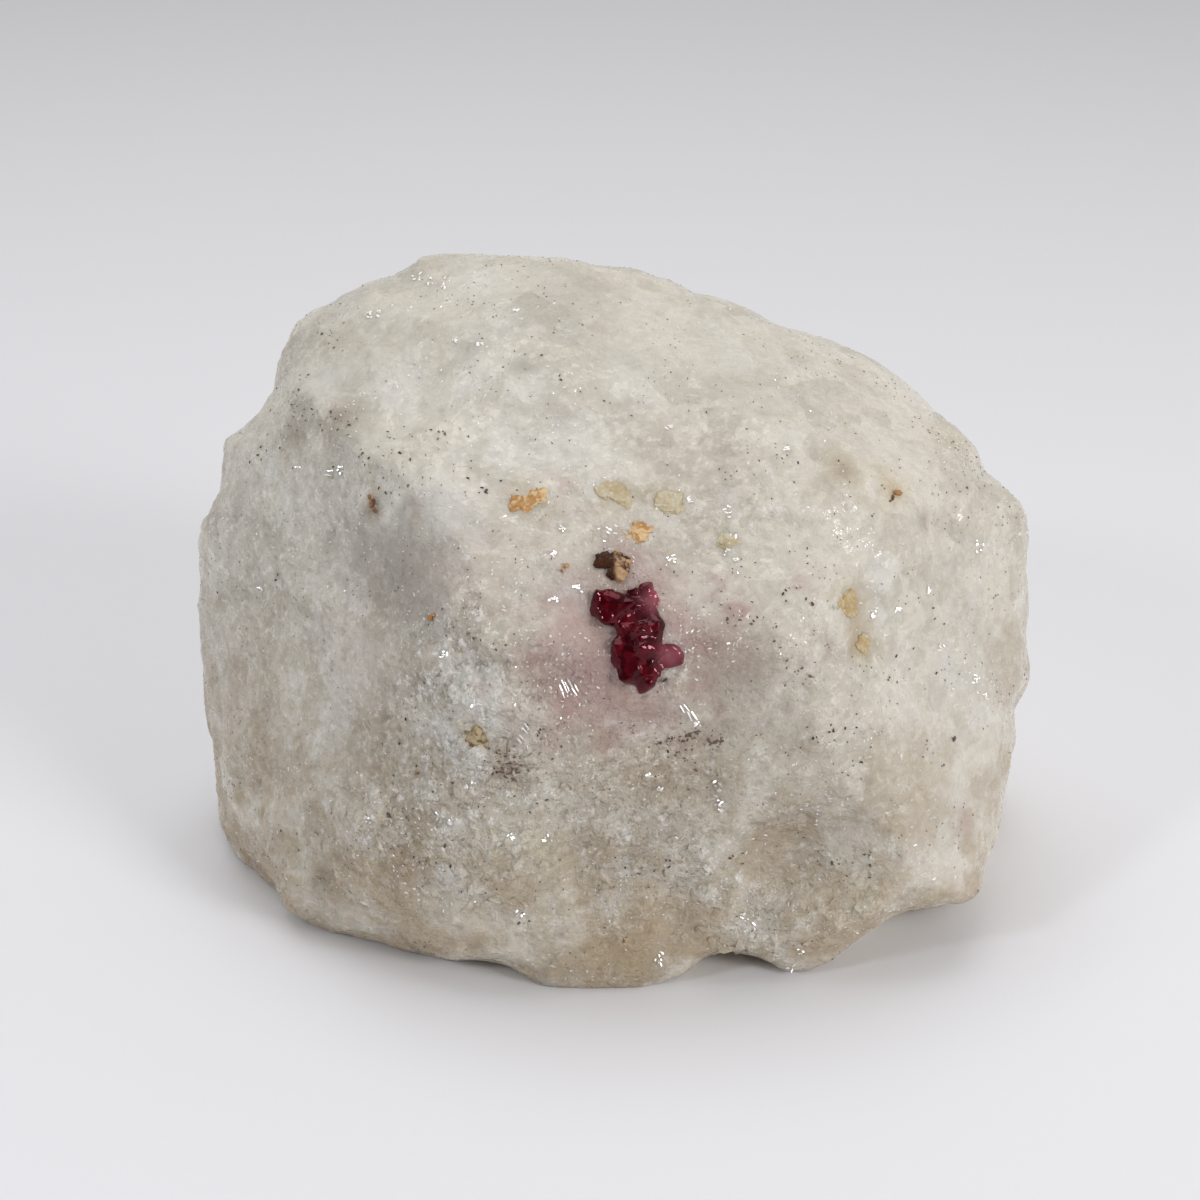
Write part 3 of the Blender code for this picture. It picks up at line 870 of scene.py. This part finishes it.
def grain_stamp(seed):
    """A blunt crystal: a cube whose corners are cut off at random, a little flat."""
    rng = random.Random(seed)
    bpy.ops.object.select_all(action="DESELECT")
    bpy.ops.mesh.primitive_cube_add(size=1.0)
    stamp = bpy.context.object
    bpy.ops.object.mode_set(mode="EDIT")
    for _ in range(6):
        way = Vector((rng.uniform(-1, 1), rng.uniform(-1, 1), rng.uniform(0.2, 1.2))).normalized()
        bpy.ops.mesh.select_all(action="SELECT")
        bpy.ops.mesh.bisect(plane_co=way * 0.40, plane_no=way, use_fill=True, clear_outer=True)
    bpy.ops.mesh.select_all(action="SELECT")
    bpy.ops.transform.resize(value=(1.0, 0.8, 0.55))
    bpy.ops.object.mode_set(mode="OBJECT")
    return stamp


turns = random.Random(12)
calcite_places = []
for point, outward in scattered(1500, 51, 0.016, 0.08, -1.2):
    long = MM * turns.uniform(0.5, 1.9) * (1.0 if point.z < 0.03 else 0.7)
    size = (long, long * turns.uniform(0.6, 1.0), long * 0.8)
    sunk = 0.40 * 0.55 * size[2] - MM * turns.uniform(0.01, 0.07)
    calcite_places.append((point - outward * sunk, outward, size, any_way(turns)))
calcite = stamped("calcite_grains", [grain_stamp(seed) for seed in (1, 2, 3, 4)], calcite_places)
keep_stains_and_painted_light(calcite)
keep_on(calcite, "crisp", np.ones(len(calcite.data.vertices)))
calcite.data.materials.append(marble_material("calcite grains", 0.0))

# %% Dark flecks that the photograph shows: across, down, width in millimetres
FLECKS = (
    (389, 815, 0.42), (453, 783, 0.30), (406, 719, 0.30), (445, 846, 0.28), (451, 866, 0.24), (414, 857, 0.24),
    (665, 680, 0.40), (519, 923, 0.28), (666, 860, 0.28), (730, 858, 0.26), (674, 572, 0.22), (506, 645, 0.24),
    (447, 636, 0.22), (276, 580, 0.26), (967, 488, 0.22), (798, 463, 0.20), (890, 501, 0.24), (954, 739, 0.36),
    (861, 762, 0.26), (530, 812, 0.24), (418, 773, 0.28), (624, 941, 0.28), (715, 742, 0.42), (708, 739, 0.26),
    (690, 735, 0.30), (683, 741, 0.26), (672, 738, 0.24), (661, 743, 0.22), (722, 741, 0.24), (698, 731, 0.22),
    (696, 770, 0.36), (670, 860, 0.24), (832, 863, 0.30), (870, 865, 0.32), (727, 620, 0.20), (783, 594, 0.22),
    (806, 599, 0.20), (740, 620, 0.22), (751, 624, 0.20), (668, 751, 0.22), (810, 676, 0.26), (802, 668, 0.22),
    (896, 656, 0.24), (933, 608, 0.24), (936, 673, 0.22), (888, 680, 0.20), (833, 730, 0.24), (845, 728, 0.22),
    (502, 768, 0.26), (510, 763, 0.30), (517, 772, 0.26), (506, 777, 0.30), (521, 765, 0.24), (499, 761, 0.24),
    (513, 779, 0.28), (497, 772, 0.22), (500, 750, 0.24), (505, 747, 0.22), (482, 488, 0.24), (486, 491, 0.28),
    (312, 409, 0.22), (331, 412, 0.28), (350, 425, 0.24), (299, 390, 0.24), (334, 348, 0.20), (322, 334, 0.20),
    (363, 453, 0.26), (369, 458, 0.24), (400, 453, 0.24), (439, 432, 0.22), (445, 434, 0.22), (438, 439, 0.20),
    (258, 455, 0.24), (261, 447, 0.20), (386, 493, 0.22), (379, 488, 0.22), (604, 401, 0.20), (561, 380, 0.20),
)

# %% Close swarms of small flecks: across, down, how many, how far they reach in the photograph's pixels
DENSE = (
    (511, 766, 14, 8), (507, 775, 10, 6), (518, 771, 10, 6), (502, 748, 6, 5), (540, 730, 8, 9), (556, 745, 6, 8),
    (656, 744, 5, 4), (668, 741, 6, 4), (680, 739, 5, 4), (692, 735, 8, 4), (701, 731, 5, 4), (712, 741, 9, 4),
    (721, 738, 5, 3), (478, 640, 6, 10), (830, 735, 6, 12), (800, 680, 6, 12), (340, 430, 8, 14), (700, 770, 5, 12),
    (760, 620, 8, 14), (850, 860, 10, 18), (640, 880, 10, 20), (300, 850, 10, 20), (420, 860, 10, 20),
)


def swarm_around(across, down, count, reach, rng):
    """Small flecks close round a place of the photograph, as across, down and width."""
    return [
        (across + rng.gauss(0, reach), down + rng.gauss(0, reach * 0.7), rng.uniform(0.08, 0.21))
        for _ in range(count)
    ]


def fleck_stamp():
    """A small, squashed, uneven lump."""
    bpy.ops.object.select_all(action="DESELECT")
    bpy.ops.mesh.primitive_ico_sphere_add(subdivisions=1, radius=0.5)
    stamp = bpy.context.object
    bpy.ops.object.mode_set(mode="EDIT")
    bpy.ops.transform.resize(value=(1.0, 0.75, 0.6))
    bpy.ops.transform.vertex_random(offset=0.12, seed=4)
    bpy.ops.object.mode_set(mode="OBJECT")
    return stamp


# %% Stamping the flecks
fleck_places = []
crowds = random.Random(5)
seen_flecks = list(FLECKS)
for across, down, _ in FLECKS:
    seen_flecks += swarm_around(across, down, count=3, reach=16, rng=crowds)
for dense in DENSE:
    seen_flecks += swarm_around(*dense, crowds)
for across, down, width in seen_flecks:
    point, outward = on_stone(across, down)
    long = width * MM * turns.uniform(1.25, 1.7)
    size = (long, long * turns.uniform(0.6, 0.9), long * 0.7)
    fleck_places.append((point + outward * (0.05 * MM), outward, size, any_way(turns)))
for point, outward in scattered(2600, 31, 0.005):
    long = MM * turns.uniform(0.10, 0.24)
    size = (long, long * 0.7, long * 0.6)
    fleck_places.append((point + outward * (0.02 * MM), outward, size, any_way(turns)))
flecks = stamped("dark_flecks", [fleck_stamp()], fleck_places)


def fleck_material():
    material, tree, shader = new_material("dark flecks")
    tone = spread_over(tree, noise_at(tree, object_place(tree), 260.0, 2.0), 0.35, 0.65)
    colour = mixed(tree, tone, (0.022, 0.018, 0.015, 1), (0.17, 0.105, 0.070, 1))
    tree.links.new(colour, shader.inputs["Base Color"])
    tree.links.new(spread_over(tree, tone, 0.0, 1.0, 0.35, 0.6), shader.inputs["Roughness"])
    return material


flecks.data.materials.append(fleck_material())

# %% Specks of rust and orange: across, down, width in millimetres
SPECKS = (
    (431, 618, 0.75), (434, 615, 0.45), (566, 566, 0.55), (562, 571, 0.35), (897, 493, 0.85), (892, 498, 0.50),
    (373, 503, 0.80), (376, 511, 0.55), (370, 497, 0.45), (418, 773, 0.40), (624, 941, 0.35), (812, 604, 0.35),
)
speck_places = []
for across, down, width in SPECKS:
    point, outward = on_stone(across, down)
    long = width * MM * 1.2
    size = (long, long * turns.uniform(0.6, 0.9), 0.6 * MM)
    speck_places.append((point + outward * (0.12 * MM), outward, size, any_way(turns)))
specks = stamped("rust_specks", [fleck_stamp()], speck_places)


def rust_material():
    material, tree, shader = new_material("rust specks")
    tone = spread_over(tree, noise_at(tree, object_place(tree), 400.0, 3.0), 0.38, 0.62)
    colour = mixed(tree, tone, (0.11, 0.040, 0.015, 1), (0.42, 0.20, 0.06, 1))
    tree.links.new(colour, shader.inputs["Base Color"])
    shader.inputs["Roughness"].default_value = 0.35
    return material


specks.data.materials.append(rust_material())

# %% Bright cleavage faces: across, down, length and width in millimetres, turn in degrees
GLINTS = (
    (418, 277, 0.9, 0.5, 0), (430, 282, 0.6, 0.4, 40), (446, 284, 0.9, 0.5, 70), (370, 316, 0.7, 0.5, 20),
    (378, 314, 0.5, 0.5, 0), (299, 467, 0.6, 0.4, 0), (328, 473, 1.2, 0.35, -5), (342, 470, 0.8, 0.4, 10),
    (262, 586, 0.5, 0.5, 0), (670, 560, 1.2, 0.5, 15), (727, 512, 0.6, 1.0, 0), (732, 540, 0.9, 0.5, 30),
    (728, 552, 0.5, 0.8, 0), (979, 545, 0.5, 1.2, 0), (692, 716, 1.5, 0.5, -55), (698, 722, 0.8, 0.5, -50),
    (684, 708, 1.1, 0.35, -50), (748, 927, 0.9, 1.4, 0), (744, 917, 0.5, 0.6, 0), (662, 957, 1.1, 0.7, 80),
    (719, 800, 0.8, 1.1, 10), (718, 785, 0.5, 0.9, 0), (720, 807, 0.6, 0.6, 0), (562, 686, 1.6, 0.35, -60),
    (568, 684, 1.4, 0.30, -60), (574, 688, 1.1, 0.30, -60), (526, 728, 1.6, 0.35, -50), (520, 738, 0.9, 0.35, -50),
    (440, 815, 0.8, 0.35, -40), (450, 822, 0.7, 0.35, -30), (436, 832, 0.9, 0.3, -50), (520, 911, 0.9, 0.4, 0),
    (548, 838, 0.8, 0.5, 20), (512, 836, 0.6, 0.5, 0), (475, 703, 0.9, 0.4, 20), (470, 785, 1.0, 0.5, 10),
    (368, 821, 0.8, 0.5, 0), (445, 654, 0.7, 0.5, 0), (555, 600, 1.0, 0.4, 20), (578, 588, 0.9, 0.4, -20),
    (554, 554, 0.4, 0.4, 0), (562, 529, 0.4, 0.4, 0), (608, 530, 0.4, 0.4, 0), (786, 448, 0.5, 0.4, 0),
    (790, 968, 0.9, 0.5, 30), (800, 950, 0.7, 0.5, 0), (735, 560, 0.5, 0.4, 0), (940, 648, 0.4, 0.9, 10),
    (872, 614, 0.5, 0.5, 0), (898, 610, 0.6, 0.4, 0), (480, 345, 0.4, 0.3, 0), (455, 340, 0.4, 0.3, 0),
    (516, 310, 0.4, 0.3, 0), (668, 428, 0.5, 0.4, 0), (690, 500, 0.4, 0.7, 0), (985, 695, 0.4, 0.8, 0),
    (975, 680, 0.4, 0.7, 0), (930, 590, 0.5, 0.4, 0), (650, 775, 0.5, 0.4, 0), (660, 790, 0.6, 0.4, 0),
)

# %% Lights, which the cleavage faces look toward: place in metres, size, power, colour
LIGHTS = {
    "broad light above": (Vector((-0.05, 0.04, 0.56)), 0.40, 1.02, (1.0, 1.0, 1.0)),
    "light from the right": (Vector((0.41, -0.39, 0.30)), 0.16, 1.40, (1.0, 1.0, 1.0)),
    "light from the left": (Vector((-0.38, -0.34, 0.36)), 0.08, 0.58, (0.88, 0.94, 1.0)),
}

# %% The shape of a cleavage face


def cleavage_stamp():
    """A thin, slanted plate with uneven sides, as calcite parts: a flat five-sided slab, narrower on top."""
    bpy.ops.object.select_all(action="DESELECT")
    bpy.ops.mesh.primitive_cylinder_add(vertices=5, radius=0.5, depth=0.5)
    stamp = bpy.context.object
    bpy.ops.object.mode_set(mode="EDIT")
    bpy.ops.transform.vertex_random(offset=0.16, seed=3)
    bpy.ops.mesh.select_all(action="DESELECT")
    bpy.ops.mesh.select_mode(type="VERT")
    bpy.ops.object.mode_set(mode="OBJECT")
    for vertex in stamp.data.vertices:
        vertex.select = vertex.co.z > 0
    bpy.ops.object.mode_set(mode="EDIT")
    bpy.ops.transform.resize(value=(0.85, 0.80, 0.0))
    bpy.ops.object.mode_set(mode="OBJECT")
    return stamp


def facing_both(point, outward, share):
    """The way a face must look to send a light to the eye, blended with the way the stone looks there."""
    to_eye = (camera.location - point).normalized()
    ways = [((place - point).normalized() + to_eye).normalized() for place, *_ in LIGHTS.values()]
    nearest = max(ways, key=lambda way: way.dot(outward))
    return (nearest * share + outward * (1 - share)).normalized()


# %% Stamping the cleavage faces
glint_places = []
for across, down, length, width, turn in GLINTS:
    striped = length > 2.5 * width
    shards = 2 if striped else 3 + round(4 * length)
    for shard in range(shards):
        angle = math.radians(turn + turns.gauss(0, 5 if striped else 35))
        along = RIGHT * math.cos(angle) + UP * math.sin(angle)
        if striped:
            aside, ahead = 0.36 * (shard - 0.5), turns.uniform(-0.2, 0.2) * length
            long, wide = length * turns.uniform(0.7, 1.0), turns.uniform(0.10, 0.17)
        else:
            aside, ahead = turns.uniform(-0.55, 0.55) * width, turns.uniform(-0.5, 0.5) * length
            long, wide = turns.uniform(0.16, 0.50), turns.uniform(0.10, 0.26)
        shift = (along * ahead + along.cross(NEAR) * aside) * MM / FRAME_WIDTH * PHOTO
        point, outward = on_stone(across + shift.dot(RIGHT), down - shift.dot(UP))
        way = facing_both(point, outward, turns.uniform(0.65, 1.0))
        size = (long * MM, wide * MM, 0.16 * MM)
        glint_places.append((point + outward * (0.06 * MM), way, size, along))
for point, outward in scattered(7000, 77, 0.007, 0.25, 0.25):
    length = MM * turns.uniform(0.10, 0.50)
    size = (length, MM * turns.uniform(0.06, 0.18), 0.10 * MM)
    if turns.random() < 0.08:
        outward = facing_both(point, outward, 0.6)
    glint_places.append((point, outward, size, any_way(turns)))
glints = stamped("cleavage_faces", [cleavage_stamp()], glint_places)


def cleavage_material():
    material, tree, shader = new_material("calcite cleavage")
    place = object_place(tree)
    tone = spread_over(tree, noise_at(tree, place, 500.0, 2.0), 0.35, 0.65)
    tree.links.new(mixed(tree, tone, (0.74, 0.71, 0.66, 1), (0.93, 0.91, 0.88, 1)), shader.inputs["Base Color"])
    tree.links.new(spread_over(tree, tone, 0.0, 1.0, 0.10, 0.22), shader.inputs["Roughness"])
    links = (("Vector", place), ("Scale", 1500.0), ("Distortion", 3.0), ("Detail", 1.0))
    ribs = node(tree, "ShaderNodeTexWave", links)
    bumped(tree, shader, product(tree, ribs.outputs["Fac"], 0.00001), 0.5)
    shader.inputs["IOR"].default_value = 1.66
    shader.inputs["Specular IOR Level"].default_value = 0.8
    shader.inputs["Coat Weight"].default_value = 0.6
    shader.inputs["Coat Roughness"].default_value = 0.08
    return material


glints.data.materials.append(cleavage_material())

# %% [markdown]
# ## Floor and light
#
# The photograph was taken on a plain, pale surface under one broad, soft light from above, with pale
# surroundings that fill the shadows. Two smaller lights make the cleavage faces shine: one from the right
# in front, and a faint, cool one from the left. The room is brighter low down than overhead, and darker
# toward the viewer, so the glossy crystals have something dark to mirror.

# %% Floor
bpy.ops.object.select_all(action="DESELECT")
bpy.ops.mesh.primitive_plane_add(size=4.0, location=(0, 0, 0))
floor = bpy.context.object
floor.name = "floor"
paper, _, paper_shader = new_material("pale paper")
paper_shader.inputs["Base Color"].default_value = (0.865, 0.86, 0.885, 1)
paper_shader.inputs["Roughness"].default_value = 0.7
floor.data.materials.append(paper)

# %% Placing the lights
AIM = Vector((0, 0, 0.02))


def soft_light(name, place, size, power, colour):
    light = bpy.data.lights.new(name, "AREA")
    light.size = size
    light.energy = power
    light.color = colour
    lamp = bpy.data.objects.new(name, light)
    lamp.location = place
    lamp.rotation_euler = (AIM - place).to_track_quat("-Z", "Y").to_euler()
    bpy.context.scene.collection.objects.link(lamp)


for name, settings in LIGHTS.items():
    soft_light(name, *settings)

# %% The pale room, brighter low down, and dark toward the viewer
DARK_SIDE = (-0.30, -0.86, 0.41)
world = bpy.data.worlds.new("pale room")
bpy.context.scene.world = world
world.use_nodes = True
room = world.node_tree
toward = node(room, "ShaderNodeTexCoord").outputs["Generated"]
facing = vector_node(room, "DOT_PRODUCT", toward, DARK_SIDE)
height = node(room, "ShaderNodeSeparateXYZ", ((0, toward),)).outputs["Z"]
strength = spread_over(room, height, 0.0, 0.9, 0.80, 0.45)
strength = product(room, strength, spread_over(room, facing, 0.45, 0.95, 1.0, 0.15))
room.links.new(strength, room.nodes["Background"].inputs["Strength"])
room.nodes["Background"].inputs["Color"].default_value = (0.99, 0.985, 0.99, 1)

# %% The end
bpy.context.view_layer.update()
